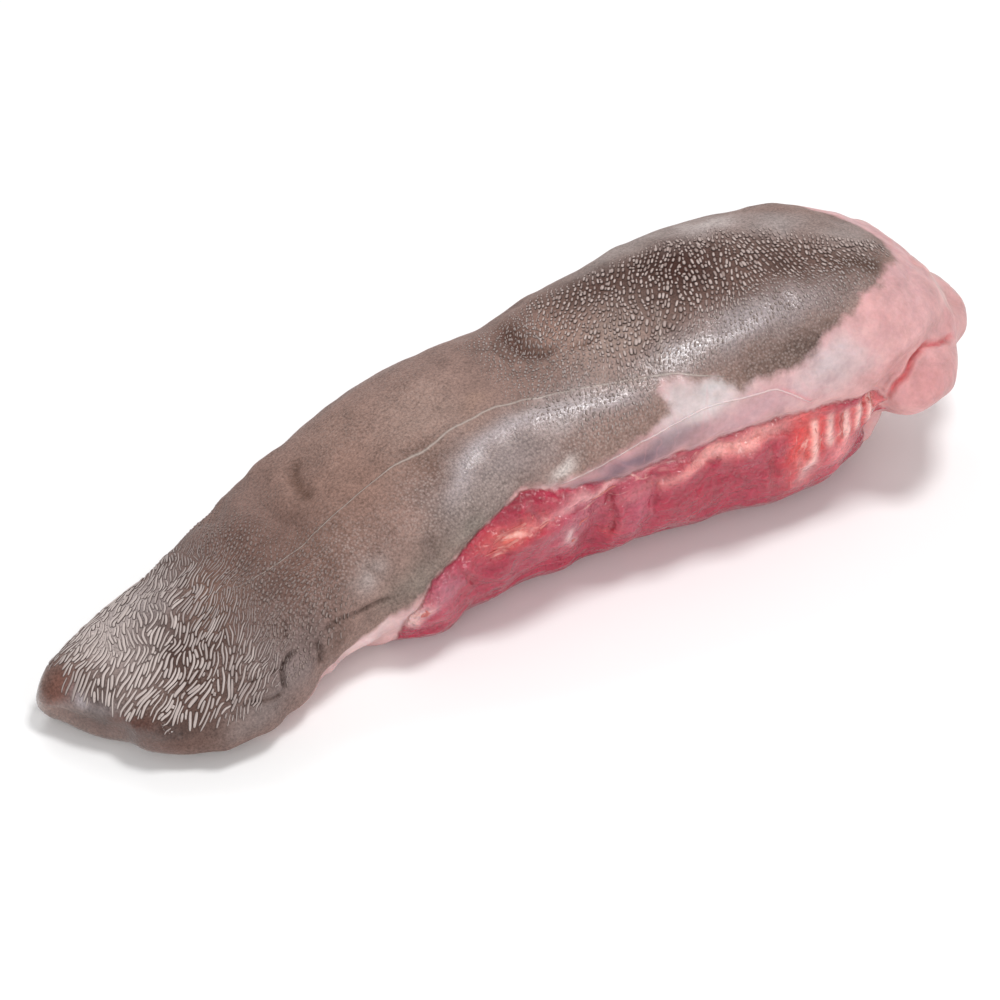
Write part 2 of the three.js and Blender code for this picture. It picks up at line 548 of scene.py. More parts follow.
@dataclass(frozen=True)
class RawTongueFinish:
    """Raw beef tongue, fresh and unskinned.

    The skin is horny and matt with a fine velvet of papillae, the membrane at the root is thin, pale and moist,
    and the cut muscle is wet, so it shines and lets light in.
    """

    name: str = "raw_tongue"
    dot_colour: str = "#b3a29c"
    seam_colour: str = "#c6b9b1"
    vein_colour: str = "#cc9297"
    ligament_colour: str = "#efdcdc"
    fat_colour: str = "#eebbb0"
    dot_size: float = 1.0 * MM
    skin_roughness: float = 0.46
    membrane_roughness: float = 0.36
    muscle_roughness: float = 0.25
    wet_roughness: float = 0.28
    glow: float = 0.3
    glow_depth: float = 1.8 * MM
    film: float = 0.95

    def material(self) -> bpy.types.Material:
        """Make the layered material.

        Returns:
            The material. It reads the colours and shares on the mesh's own attributes.
        """
        material, node = blank_material(self.name)
        place = node("TexCoord", {}, "Object")
        fibre = node("Attribute", {}, "Vector", attribute_name="fibre")
        sockets = {name: node("Attribute", {}, "Fac", attribute_name=name) for name in MARKS}
        sockets |= {layer: node("Attribute", {}, "Color", attribute_name=layer.value) for layer in Layer}
        for name, pattern in PATTERNS.items():
            where, unit = (fibre, 1.0) if pattern.on_fibre else (place, MM)
            size = {"Vector": where, "Scale": 1 / (pattern.size * unit), "Distortion": pattern.distortion}
            sockets[name] = node("TexNoise", {**size, "Detail": pattern.detail, "Roughness": pattern.roughness})
        mixer = Mixer(node, sockets)
        pigment = mixer.edge("pigment_mm", 5.5, 1.9)
        flesh = mixer.edge("muscle_mm", 3.0, 0.6)
        cells = node("TexVoronoi", {"Vector": place, "Scale": 1 / self.dot_size, "Randomness": 0.8}, "Distance")
        colour, height, roughness = self._membrane(mixer)
        for share, (over, above, drier) in ((pigment, self._skin(mixer, cells)), (flesh, self._muscle(mixer))):
            colour = node("Mix", {0: share, 6: colour, 7: over}, **RGBA)
            height = node("Mix", {0: share, 2: height, 3: above})
            roughness = node("Mix", {0: share, 2: roughness, 3: drier})
        bare = node("Math", [1.0, pigment], operation="SUBTRACT")
        soft = node("Math", [bare, flesh], operation="MAXIMUM")
        wet = node("Math", [flesh, sockets["wet_share"]], operation="MAXIMUM")
        keen = node("MapRange", {0: flesh, 3: 0.35, 4: 0.75})
        looks = {
            "Base Color": colour,
            "Roughness": node("Mix", {0: sockets["wet_share"], 2: roughness, 3: self.wet_roughness}),
            "IOR": 1.42,
            "Specular IOR Level": 0.08,
            "Normal": node("Bump", {"Height": height, "Distance": MM, "Strength": 1.0}),
            "Subsurface Weight": node("Math", [soft, self.glow], operation="MULTIPLY"),
            "Subsurface Radius": (1.0, 0.4, 0.25),
            "Subsurface Scale": self.glow_depth,
            "Coat Weight": node("Math", [wet, self.film], operation="MULTIPLY"),
            "Coat Roughness": 0.09,
            "Coat Normal": node("Bump", {"Height": height, "Distance": MM, "Strength": keen}),
        }
        node("OutputMaterial", {"Surface": node("BsdfPrincipled", looks)})
        return material

    def _skin(self, mixer: Mixer, cells: Any) -> tuple[Any, Any, float]:
        """The horny skin: velvet grain, pale papilla tips and the seam along it.

        Args:
            mixer: The material's sockets.
            cells: The socket with the distance from the nearest papilla tip.

        Returns:
            The sockets with its colour and its height in millimetres, and its roughness.
        """
        sockets = mixer.sockets
        tips = mixer.node("MapRange", [cells, 0.62, 0.1], **SMOOTH)
        sockets["dots"] = mixer.node("Math", [tips, sockets["dot_share"]], operation="MULTIPLY")
        sockets["seam"] = mixer.band({"waver": 0.9, "seam_mm": 1.0}, -0.45, 0.6)
        light = mixer.total({"grain": 1.55, "blotch": 1.1}, -0.32)
        coats = {"dots": (0.6, self.dot_colour), "seam": (0.55, self.seam_colour)}
        height = mixer.total({"grain": 0.45, "dots": 0.2, "seam": 0.45})
        return mixer.painted(Layer.SKIN, light, coats), height, self.skin_roughness

    def _membrane(self, mixer: Mixer) -> tuple[Any, Any, float]:
        """The thin moist membrane at the root, with faint veins and a ligament under it.

        Args:
            mixer: The material's sockets.

        Returns:
            The sockets with its colour and its height in millimetres, and its roughness.
        """
        mixer.sockets["veins"] = mixer.band({"net": 1.0}, -0.5, 0.035)
        mixer.sockets["string"] = mixer.band({"waver": 0.9, "ligament_mm": 1.0}, -0.45, 0.45)
        light = mixer.total({"haze": 0.8, "speck": 0.3}, 0.43)
        coats = {"veins": (0.16, self.vein_colour), "string": (0.6, self.ligament_colour)}
        height = mixer.total({"haze": 0.8, "string": 0.35})
        return mixer.painted(Layer.MEMBRANE, light, coats), height, self.membrane_roughness

    def _muscle(self, mixer: Mixer) -> tuple[Any, Any, float]:
        """The wet muscle: bundles of fibre with fat between them.

        Args:
            mixer: The material's sockets.

        Returns:
            The sockets with its colour and its height in millimetres, and its roughness.
        """
        wanted = mixer.total({"web": 1.0, "fat_share": 0.26})
        mixer.sockets["fat"] = mixer.node("MapRange", [wanted, 0.66, 0.9], **SMOOTH)
        light = mixer.total({"bundle": 0.5, "crumb": 0.8, "cloud": 0.6}, 0.08)
        height = mixer.total({"bundle": 0.3, "crumb": 0.6, "cloud": 1.3})
        coats = {"fat": (0.75, self.fat_colour)}
        return mixer.painted(Layer.MUSCLE, light, coats), height, self.muscle_roughness


def both_sides(marks: Sequence[Line | Spot]) -> list[Any]:
    """The marks of the near side with their like on the far side, moved along so that the sides differ."""
    return [*marks, *(mark.mirrored() for mark in marks)]


# The mesh's attributes of a single number that the body's material reads.
MARKS = ("pigment_mm", "muscle_mm", "seam_mm", "ligament_mm", "dot_share", "wet_share", "fat_share")
PATTERNS = {
    "wander": Pattern(4.5, 5.0),
    "waver": Pattern(5, 3.0, 0.5),
    "grain": Pattern(0.85, 2.0, 0.7),
    "blotch": Pattern(11, 6.0, 0.68),
    "haze": Pattern(7, 6.0),
    "speck": Pattern(1.6, 3.0),
    "net": Pattern(14, 2.0, 0.5, 0.6),
    "crumb": Pattern(1.5, 2.0),
    "cloud": Pattern(6, 3.0),
    "bundle": Pattern(1 / 0.6, 4.0, on_fibre=True),
    "web": Pattern(1 / 0.34, 5.0, distortion=0.5, on_fibre=True),
}
SKIN_SPOTS = (
    # Dark ground under the tip ridges: dark skin, deepened as painted shade in the grooves between them.
    Spot((-132, 8), 24, 36, "#3f2a23", 0.93),
    Spot((-105, 36), 16, 34, "#625350", 0.75),
    Spot((-100, 62), 12, 14, "#807473", 0.8),
    Spot((-147, -24), 10, 16, "#c9bbb7", 0.92),
    Spot((-131, -38), 14, 11, "#b6aaa8", 0.92),
    Spot((-88, 28), 18, 20, "#664c44", 0.8),
    Spot((-102, -14), 12, 12, "#6b4f47", 0.8),
    Spot((-112, 2), 9, 9, "#84685d", 0.6),
    Spot((-62, 9), 18, 16, "#8f7064", 0.7),
    Spot((-75, -14), 7, 9, "#8a6c61", 0.5),
    Spot((-35, 3), 16, 12, "#9a8177", 0.8),
    Spot((-57, -23), 12, 8, "#93776c", 0.6),
    # A darker patch in the hollow beside the sheen band: painted shade.
    Spot((-42, 26), 7, 8, "#745a50", 0.7),
    # These three grey patches along the sheen band below the seam are painted sheen on the greyer skin of the
    # side.
    Spot((-22, 40), 18, 9, "#857a79", 0.85),
    Spot((-34, 50), 12, 7, "#837672", 0.8),
    Spot((6, 32), 14, 6, "#aca1a0", 0.7),
    Spot((-36, 60), 10, 9, "#7d6f6a", 0.9),
    Spot((-55, 80), 16, 10, "#7c7068", 0.85),
    Spot((-70, 57), 6, 5, "#a0938f", 0.8),
    Spot((-85, 82), 5, 7, "#5e4a43", 0.7),
    Spot((-51, 66), 4, 8, "#78665f", 0.6),
    Spot((-28, 64), 14, 3.0, "#7c746b", 0.7),
    # A small pale streak by the muscle's upper edge: painted highlight.
    Spot((-3, 54), 4.5, 1.6, "#d2c8c4", 0.7),
    # A dark patch in the fossa: painted shade.
    Spot((7, -22), 6, 10, "#50372f", 0.8),
    Spot((19, -8), 8, 8, "#a68274", 0.75),
    Spot((38, -24), 20, 11, "#4f3830", 0.8),
    # Dark top of the hump: dark pigment, deepened as painted shade between the papillae.
    Spot((62, -6), 26, 20, "#3b231d", 0.97),
    Spot((94, 11), 20, 13, "#57433d", 0.95),
    Spot((116, 20), 10, 8, "#463229", 0.85),
    Spot((30, 10), 14, 13, "#9c887f", 0.8),
    # Pale grey along the near shoulder of the hump: painted highlight.
    Spot((72, 33), 30, 6, "#9b9294", 0.85),
    Spot((46, 34), 10, 5, "#b3abac", 0.7),
    Spot((84, 50), 24, 7, "#5b4b45", 0.9),
    # These four pale grey spots follow the far rim as the camera sees it, where the large papillae end: painted
    # rim light.
    Spot((60, -38), 18, 6, "#9f9490", 0.6),
    Spot((85, -27), 14, 7, "#b5a9a6", 0.95),
    Spot((104, -14), 12, 8, "#988c89", 0.95),
    Spot((121, 0), 9, 8, "#958985", 0.9),
    Spot((70, -48), 34, 10, "#918581", 0.85),
    Spot((128, -6), 9, 12, "#8c7d79", 0.8),
    Spot((-18, 8), 5, 4, "#94786a", 0.5),
    Spot((-118, 84), 14, 8, "#786c69", 0.8),
    Spot((-157, 62), 8, 28, "#574742", 0.95),
    Spot((-143, 80), 11, 10, "#513f3a", 0.9),
    Spot((-166, 6), 6, 8, "#6f473c", 0.9),
    Spot((-156, 46), 5, 6, "#7d7272", 0.7),
    # A small pale patch on the wet front of the tip: painted highlight.
    Spot((-162, 28), 3, 5, "#b9aeb1", 0.85),
    Spot((-150, 68), 5, 6, "#643e35", 0.75),
    Spot((-146, 104), 12, 5, "#6a4a40", 0.6),
    Spot((-160, 118), 12, 8, "#5c4039", 0.6),
)
MEMBRANE_SPOTS = both_sides([
    # These two darker mauve patches just under the ligament are painted shade.
    Spot((20, 68), 30, 6, "#7c6670", 0.97),
    Spot((34, 66), 6, 4, "#8a777c", 0.8),
    Spot((62, 69), 20, 5, "#bc989d", 0.9),
    Spot((50, 53), 16, 6, "#c9c2c2", 0.95),
    Spot((38, 50), 8, 6, "#c6b9b9", 0.9),
    Spot((90, 60), 14, 9, "#c2b3b5", 0.9),
    # A small pale streak by the muscle's upper edge: painted highlight.
    Spot((-6, 56), 5, 3, "#d6c9c8", 0.9),
    Spot((132, 30), 16, 22, "#caa0a1", 0.9),
    Spot((124, 84), 14, 9, "#c68e8e", 0.9),
]) + [
    Spot((150, 70), 12, 14, "#c79090", 0.8),
    Spot((-75, 115), 18, 9, "#dec4c4", 0.95),
    Spot((-140, 170), 60, 24, "#a98882", 0.9),
    Spot((156, -55), 8, 16, "#d8b4a8", 0.8),
    Spot((154, 42), 8, 12, "#d9b6ae", 0.6),
    Spot((156, -112), 9, 12, "#bb8080", 0.7),
    Spot((150, -20), 8, 12, "#bf8b8c", 0.6),
]
MUSCLE_SPOTS = both_sides([
    Spot((-60, 103), 6, 4, "#dcb8b5", 0.9),
    Spot((-48, 93), 9, 7, "#a6606e", 0.9),
    Spot((-38, 98), 3, 8, "#9a2c3b", 0.7),
    Spot((-25, 97), 11, 9, "#931030", 0.92),
    Spot((-24, 77), 9, 5, "#d0604f", 0.8),
    Spot((-20, 58), 7, 3, "#8c353f", 0.8),
    Spot((1, 90), 11, 10, "#a44d5d", 0.9),
    Spot((-3, 99), 3, 3, "#e2c4c4", 0.7),
    Spot((13, 112), 2.5, 4, "#b01f2b", 0.9),
    Spot((21, 100), 6, 13, "#a84a5e", 0.9),
    Spot((50, 102), 22, 12, "#991030", 0.95),
    # Pale pink along the muscle's raised top rim: a paler rim, with painted highlight where the wet rim glints.
    Spot((54, 82), 26, 3.5, "#e8a49d", 0.85),
    Spot((10, 74), 22, 2.5, "#dda3a3", 0.8),
    Spot((82, 96), 8, 14, "#d24038", 0.95),
    Spot((84, 110), 3, 6, "#ecd4ce", 0.6),
    Spot((97, 104), 6, 9, "#e0898a", 0.88),
    Spot((94, 131), 5, 4, "#8f2833", 0.9),
    Spot((110, 94), 6, 8, "#d46c6c", 0.8),
])
MUSCLE_FAT = both_sides([
    Spot((-24, 78), 12, 6, share=0.8),
    Spot((-60, 103), 8, 5, share=0.8),
    Spot((-3, 99), 6, 5, share=0.6),
    Spot((86, 100), 12, 14, share=0.6),
    Spot((108, 96), 10, 12, share=0.6),
    Spot((25, 78), 30, 4, share=0.7),
])
# Where the skin is wet and shines.
SHINE = (
    Spot((44, 34), 16, 5, share=0.75),
    Spot((76, 30), 30, 5, share=0.55),
    Spot((-162, 27), 5, 7, share=0.5),
)
RISES = both_sides([
    Spot((-25, 96), 11, 9, rise=1.5),
    Spot((-48, 93), 7, 5, rise=0.8),
    Spot((1, 98), 9, 13, rise=1.2),
    Spot((21, 102), 5, 12, rise=1.0),
    Spot((50, 99), 18, 11, rise=1.4),
    Spot((82, 100), 7, 13, rise=1.5),
    Spot((97, 106), 5, 11, rise=1.0),
    Spot((124, 86), 9, 9, rise=1.4),
]) + [
    Spot((-45, 28), 6, 14, rise=-0.9),
    Spot((-16, 38), 20, 8, rise=0.9),
    Spot((-62, -6), 8, 8, rise=0.8),
    Spot((-58, 44), 10, 8, rise=0.7),
    Spot((-30, -20), 10, 9, rise=0.7),
    Spot((-112, 66), 4, 5, rise=1.9),
    Spot((-99, 74), 3.5, 6, rise=1.7),
    Spot((-88, 84), 4, 6, rise=0.6),
    Spot((-116, 84), 5, 5, rise=0.8),
    Spot((-164, 118), 9, 16, rise=-2.2),
    Spot((-146, 70), 6, 6, rise=1.2),
    Spot((-96, -50), 5, 8, rise=-2.6),
    Spot((-76, -48), 9, 8, rise=2.2),
    Spot((158, 62), 9, 12, rise=-2.6),
    Spot((-84, 124), 9, 9, rise=-4.0),
    Spot((-57, 129), 8, 9, rise=-4.5),
    Spot((-8, 130), 18, 12, rise=-7.0),
    Spot((36, 138), 15, 9, rise=-5.0),
    Spot((112, 126), 9, 16, rise=-6.5),
]
SEAM = [
    (-109, 2), (-97, 12), (-82, 19), (-64, 17), (-45, 17), (-40, 19), (-30, 16), (-16, 16), (6, 25), (30, 36),
    (39, 39), (47, 46), (56, 50),
]
LIGAMENT = [(-6, 62), (8, 62), (22, 60), (35, 59), (44, 58), (57, 60), (70, 61), (82, 73)]
# A low raised band along the near side. Its pale grey is painted sheen, and the skin's wet shine follows it
# too.
SHEEN_BAND = Line(
    [(36, 45), (15, 37), (2, 32), (-11, 28), (-23, 28), (-32, 33), (-40, 45), (-43, 57)],
    -0.6, 4.0, 0.0, 0.6, "#a69c9e", 3.2,
)
# The skin's lines. The dark browns along its creases and the fossa are painted shade in them, and the sheen
# band's grey is painted sheen.
SKIN_LINES = (
    SHEEN_BAND,
    Line([(-99, 37), (-100, 43), (-102, 48)], 0.6, 0.7, colour="#4a3833", colour_width=0.6),
    Line([(-99, 59), (-103, 58), (-106, 60), (-107, 70), (-107, 82)], 1.5, 0.8, 0.5, 0.5, "#35251f", 0.7),
    Line([(-106, 60), (-113, 56), (-118, 55)], 0.7, 0.8, 0.4, colour="#54423c", colour_width=0.6),
    Line([(-107, 82), (-115, 73), (-122, 70)], 0.8, 0.8, 0.5, colour="#54423c", colour_width=0.7),
    Line([(-93, 66), (-92, 80), (-93, 93)], 1.0, 0.9, 0.5, colour="#4a3833", colour_width=0.7),
    Line([(-62, 80), (-65, 83), (-72, 79), (-83, 69), (-93, 63)], 1.0, 0.9, 0.6, 0.5, "#574640", 0.7),
    Line([(-116, 12), (-118, 26), (-114, 39)], 0.5, 1.5),
    Line([(-141, 92), (-141, 75), (-144, 61)], 0.9, 2.0, colour="#5c4a45", colour_width=1.2),
    Line([(-125, 82), (-124, 66), (-124, 54)], 0.6, 1.5, colour="#5c4a45", colour_width=0.8),
    Line([(-68, -32), (-73, -20), (-75, -6), (-72, 4)], 1.5, 2.6, colour="#5e463c", colour_width=2.0),
    Line([(-84, -22), (-86, -8), (-82, 6), (-84, 18)], 0.6, 2.4),
    Line([(-51, 56), (-50, 66), (-49, 76)], 1.1, 1.8, colour="#786660", colour_width=1.4),
    Line([(-70, 47), (-69, 56), (-67, 65)], 0.9, 1.5, colour="#786660", colour_width=1.2),
    Line([(-40, 24), (-44, 34), (-43, 44)], 0.5, 2.2),
    Line([(8, -34), (6, -24), (7, -14), (11, -2), (16, 4)], 1.5, 2.4, colour="#513831", colour_width=1.5),
    Line([(2, -26), (0, -16), (3, -6)], 0.8, 1.8, colour="#604840", colour_width=1.1),
    Line([(16, 4), (22, 7), (30, 6)], 0.7, 1.6, colour="#6b4f44", colour_width=1.2),
    Line([(-64, 17), (-45, 17), (-30, 16), (-16, 16), (6, 25), (30, 36)], -0.45, 1.5, 0.4),
    Line([(50, 4), (44, 20), (36, 38)], -0.3, 0.8, 0.0, colour="#a8988f", colour_width=0.7),
)
# The root's lines. The darker reds and pinks along its creases are painted shade in them.
ROOT_LINES = (
    Line(
        [(152, 85), (144, 80), (136, 74), (130, 71), (125, 73), (120, 77), (116, 81), (113, 88), (112, 95)],
        1.3, 0.9, 0.5, 0.9, "#c8484c", 0.8,
    ),
    Line([(70, 61), (76, 66), (84, 75)], -0.4, 0.8, 0.0, 0.3, "#cf8c90", 0.8),
    Line([(120, 62), (128, 50), (134, 34), (136, 20)], 0.5, 3.0),
    Line([(144, 66), (150, 50), (152, 30)], 0.6, 3.5),
    Line([(138, -42), (149, -60), (153, -82), (147, -104)], 1.0, 2.2, 0.5, 1.2, "#bd7f80", 1.6),
    Line([(140, 26), (148, 6), (150, -16), (144, -34)], 0.7, 3.0, 0.5, 1.4, "#c48c8c", 2.0),
)
# The muscle's lines. The dark reds along its creases are painted shade in them; the pale raised streaks are fat
# and the orange-red lines between them the muscle's own colour.
FLESH_LINES = both_sides([
    Line([(26, 84), (34, 85), (45, 87), (58, 89), (66, 88), (76, 89), (84, 88)], -1.8, 4.0, 0.0, 1.2),
    Line([(-30, 88), (-20, 84), (-8, 82), (6, 85)], -1.2, 3.0, 0.0, 0.8),
    Line([(-43, 82), (-40, 94), (-35, 108)], 1.2, 1.0, colour="#9c3341", colour_width=0.8),
    Line([(-20, 60), (-16, 70), (-12, 84)], 0.8, 1.4, colour="#9c4450", colour_width=0.8),
    Line([(13, 76), (12, 88), (14, 100), (13, 118)], 1.1, 1.2, colour="#982c3a", colour_width=0.9),
    Line([(28, 80), (27, 98), (29, 118)], 0.5, 1.1, colour="#ab4a5a", colour_width=0.7),
    Line([(66, 84), (70, 98), (71, 112), (74, 124)], 0.9, 1.3, colour="#9c3640", colour_width=0.9),
    *(
        Line([(x, 82), (x + 1, 94), (x + 3, 106)], -0.5, 1.2, 0.0, 0.9, "#f0c6bd", 1.6)
        for x in (84, 90, 95.5, 101, 106.5)
    ),
    *(
        Line([(x, 82), (x + 1, 94), (x + 3, 108)], 0.5, 1.1, 0.0, 0.9, "#c43a36", 1.3)
        for x in (81, 87, 93, 98.5, 104)
    ),
])
PIGMENTED = Outline(
    near=[
        (-200, 185), (-156, 185), (-142, 156), (-120, 137), (-95, 113), (-80, 106), (-69, 103), (-53, 87),
        (-41, 78), (-31, 66), (-19, 55), (-6, 61), (8, 61), (22, 59), (34, 54), (36, 50), (33, 45),
        (36, 41), (41, 43), (46, 48), (51, 48), (58, 57), (63, 55), (70, 56), (79, 56), (86, 53), (94, 47),
        (104, 43), (110, 37), (118, 36), (124, 28), (133, 22), (137, 8), (138, 0),
    ],
    far=[
        (-200, 185), (-156, 185), (-142, 156), (-120, 137), (-90, 114), (-60, 105), (-30, 97), (0, 90),
        (30, 82), (60, 74), (85, 66), (104, 54), (118, 40), (130, 24), (137, 8), (138, 0),
    ],
    over_back=True,
)
BARE_MUSCLE = Outline(
    near=[
        (-62, 134), (-63, 118), (-62, 106), (-58, 98), (-52, 86), (-43, 79), (-33, 66), (-19, 56),
        (-13, 60), (-7, 64), (4, 69), (15, 75), (24, 76), (36, 75), (43, 76), (57, 77), (64, 77), (79, 78),
        (90, 79), (101, 82), (111, 86), (113, 92), (112, 98), (116, 106), (117, 120), (117, 140),
    ],
    far=[
        (-66, 140), (-66, 118), (-50, 104), (-25, 98), (0, 94), (30, 88), (60, 88), (90, 90), (108, 98),
        (116, 112), (117, 140),
    ],
    over_back=False,
)


@dataclass
class TongueBody:
    """The whole tongue's surface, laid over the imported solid."""

    net: float = 1.38
    smoothing: int = 26
    grain_rise: float = 14.0
    root_drop: float = 7.5
    brim: float = 1.1
    folds: Sequence[tuple[Any, float]] = (((16, 9, 9), 0.8), ((7, 4, 4), 0.5), ((3.5, 1.8, 1.8), 0.25))
    ripples: Sequence[tuple[Any, float]] = ((14, 0.5), ((6, 16, 16), 0.35), ((22, 6, 6), 0.35), (5, 0.15))
    beads: Sequence[tuple[Any, float]] = ((2.2, 0.5), (3.4, 0.4))
    spine: Spine = field(default_factory=Spine)
    finish: RawTongueFinish = field(default_factory=RawTongueFinish)

    def build(self, solid: bpy.types.Object) -> bpy.types.Object:
        """Lay an even net over the solid, shape it and dress it.

        Args:
            solid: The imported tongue.

        Returns:
            The finished piece.
        """
        body = self._even_copy(solid)
        surface = SurfaceMap(body.data, self.spine)
        self._name_places(body.data, surface)
        self._paint(body.data, surface)
        self._shape(body.data, surface)
        dress(body.data, self.finish.material())
        return body

    def _even_copy(self, solid: bpy.types.Object) -> bpy.types.Object:
        """A merged, smoothed copy of the solid. Its even net is finer where flesh and wrinkles show."""
        bm = bmesh.new()
        bm.from_mesh(solid.data)
        bmesh.ops.remove_doubles(bm, verts=bm.verts, dist=0.01 * MM)
        copy = new_object("tongue_body", finished_mesh(bm, "tongue_body"))
        remesh = copy.modifiers.new("even_net", "REMESH")
        remesh.mode, remesh.voxel_size, remesh.adaptivity = "VOXEL", self.net * MM, 0.0
        graph = bpy.context.evaluated_depsgraph_get()
        even = bpy.data.meshes.new_from_object(copy.evaluated_get(graph))
        copy.modifiers.clear()
        copy.data = even
        even.name = "tongue_body"
        relax(even, self.smoothing)
        bm = bmesh.new()
        bm.from_mesh(even)
        points = coords(even) / MM
        x, turn = points[:, 0], self.spine.turn(points)
        wrinkles = (x > -152) & (x < -84) & (turn > 25) & (turn < 105)
        strap = (x > -92) & (x < 128) & (turn > 50) & (turn < 132)
        fine = wrinkles | strap
        edges = [e for e in bm.edges if fine[e.verts[0].index] and fine[e.verts[1].index]]
        bmesh.ops.subdivide_edges(bm, edges=edges, cuts=1, use_grid_fill=True, smooth=0.0)
        bmesh.ops.recalc_face_normals(bm, faces=bm.faces)
        bm.to_mesh(even)
        bm.free()
        relax(even, 4)
        return copy

    def _name_places(self, mesh: bpy.types.Mesh, surface: SurfaceMap) -> None:
        """Write the edges, the lines and the shares of each kind of detail."""
        x, turn, points = surface.along, surface.turn, surface.points
        dots = 0.2 + 0.45 * between(turn, 20, 34, 48, 62) + 0.25 * soft_noise(points, 15, 8)
        dots -= 0.35 * eased(x, 10, 40) * sinking(turn, 16, 30) + 0.25 * sinking(x, -120, -96)
        front = sinking(x, -150, -134) * sinking(surface.normals[:, 2], 0.3, 0.75)
        away, share = surface.near_line(SHEEN_BAND)
        shine = sum(surface.spot(s) * s.share for s in SHINE) + 0.7 * share * bell(away, 4.5)
        seam = between(x, -114, -98, 44, 58) * (0.5 + 0.5 * eased(x, -62, -38))
        lift = math.radians(self.grain_rise)
        flat = surface.flat
        along = flat[:, 0] * math.cos(lift) + flat[:, 1] * math.sin(lift)
        cross = flat[:, 1] * math.cos(lift) - flat[:, 0] * math.sin(lift)
        upright = eased(x, 66, 80)
        run = (along - 72) * (0.35 + 0.55 * upright) + 1.5 * soft_noise(points, 9, 41)
        over = cross * (1.0 - 0.6 * upright) + 1.5 * soft_noise(points, 9, 42)
        marks = {
            "pigment_mm": PIGMENTED.inside(x, turn, self.spine),
            "muscle_mm": BARE_MUSCLE.inside(x, turn, self.spine),
            "seam_mm": surface.beside(SEAM) / np.maximum(seam, FAINT),
            "ligament_mm": surface.beside(LIGAMENT) / np.maximum(between(x, -10, -2, 78, 86), FAINT),
            "dot_share": np.clip(dots, 0, 1),
            "wet_share": np.clip(front + shine, 0, 1),
            "fat_share": np.clip(sum(surface.spot(s, 2) * s.share for s in MUSCLE_FAT), 0, 1),
            "fibre": np.stack([run, over, 0 * over], axis=1),
        }
        for name, values in marks.items():
            write(mesh, name, values)

    def _paint(self, mesh: bpy.types.Mesh, surface: SurfaceMap) -> None:
        """Paint each layer's colours."""
        layers = {
            Layer.SKIN: ("#866d65", SKIN_SPOTS, SKIN_LINES),
            Layer.MEMBRANE: ("#cb9c9b", MEMBRANE_SPOTS, ROOT_LINES),
            Layer.MUSCLE: ("#9c223c", MUSCLE_SPOTS, FLESH_LINES),
        }
        for layer, (ground, spots, lines) in layers.items():
            colour = np.tile(linear(ground), (len(surface.points), 1))
            for spot in spots:
                share = (surface.spot(spot, 2.5) * spot.share)[:, None]
                colour = colour * (1 - share) + linear(spot.colour) * share
            # A line's colour lies along it: on creases mostly a darker colour, painted shade, and on the sheen
            # band a painted sheen.
            for line in (line for line in lines if line.colour):
                distance, share = surface.near_line(line)
                along = (bell(distance, line.colour_width) * share * 0.75)[:, None]
                colour = colour * (1 - along) + linear(line.colour) * along
            write(mesh, layer.value, colour)

    def _shape(self, mesh: bpy.types.Mesh, surface: SurfaceMap) -> None:
        """Press the creases, folds and swellings into the net."""
        x = surface.along
        muscle = BARE_MUSCLE.inside(x, surface.turn, self.spine)
        lift = np.zeros(len(x))
        for line in (*SKIN_LINES, *ROOT_LINES, *FLESH_LINES):
            distance, share = surface.near_line(line)
            lift -= line.depth * share * bell(distance, line.width)
            lift += line.banks * line.depth * share * bell(distance - 2 * line.width, line.width)
        for spot in RISES:
            lift += spot.rise * surface.spot(spot, 1.5)
        lift -= self.root_drop * eased(x, 146, 168) * eased(surface.points[:, 2], 34, 62)
        above = np.clip(surface.normals[:, 2] + 1.2, 0, 1)
        flesh = eased(muscle, -0.5, 2.5)
        lift += flesh * self._relief(surface, self.folds, 31)
        lift += (1 - flesh) * self._relief(surface, self.ripples, 34)
        wet_rim = bell(muscle - 4, 5) * between(x, 18, 34, 82, 92)
        lift += wet_rim * self._relief(surface, self.beads, 71)
        brim = eased(muscle, 0, 5) * bell(muscle, 14) - bell(muscle + 0.6, 1.3)
        lift += self.brim * brim * eased(x, -96, -84)
        points = surface.points + surface.normals * (lift * above)[:, None]
        points[:, 2] = np.maximum(points[:, 2], 0)
        set_coords(mesh, points * MM)

    def _relief(self, surface: SurfaceMap, waves: Sequence[tuple[Any, float]], seed: int) -> Array:
        """Random relief made of several sizes of wave.

        Args:
            surface: The surface.
            waves: Each wave's size in millimetres, in all directions or along, across and up, and its height.
            seed: Chooses the first wave's noise, and the next ones follow.

        Returns:
            Millimetres of relief for each vertex.
        """
        return sum(tall * soft_noise(surface.points, size, seed + i) for i, (size, tall) in enumerate(waves))


def write(mesh: bpy.types.Mesh, name: str, values: Array) -> None:
    """Write one value, vector or colour for each vertex as an attribute.

    Args:
        mesh: The mesh.
        name: The attribute's name. One that ends with paint is a colour.
        values: A row for each vertex.
    """
    kind = "FLOAT" if values.ndim == 1 else "FLOAT_COLOR" if name.endswith("paint") else "FLOAT_VECTOR"
    layer = mesh.attributes.new(name, kind, "POINT")
    if kind == "FLOAT_COLOR":
        values = np.column_stack([np.clip(values, 0, 1), np.ones(len(values))])
    key = {"FLOAT": "value", "FLOAT_COLOR": "color", "FLOAT_VECTOR": "vector"}[kind]
    layer.data.foreach_set(key, values.astype(np.float32).ravel())


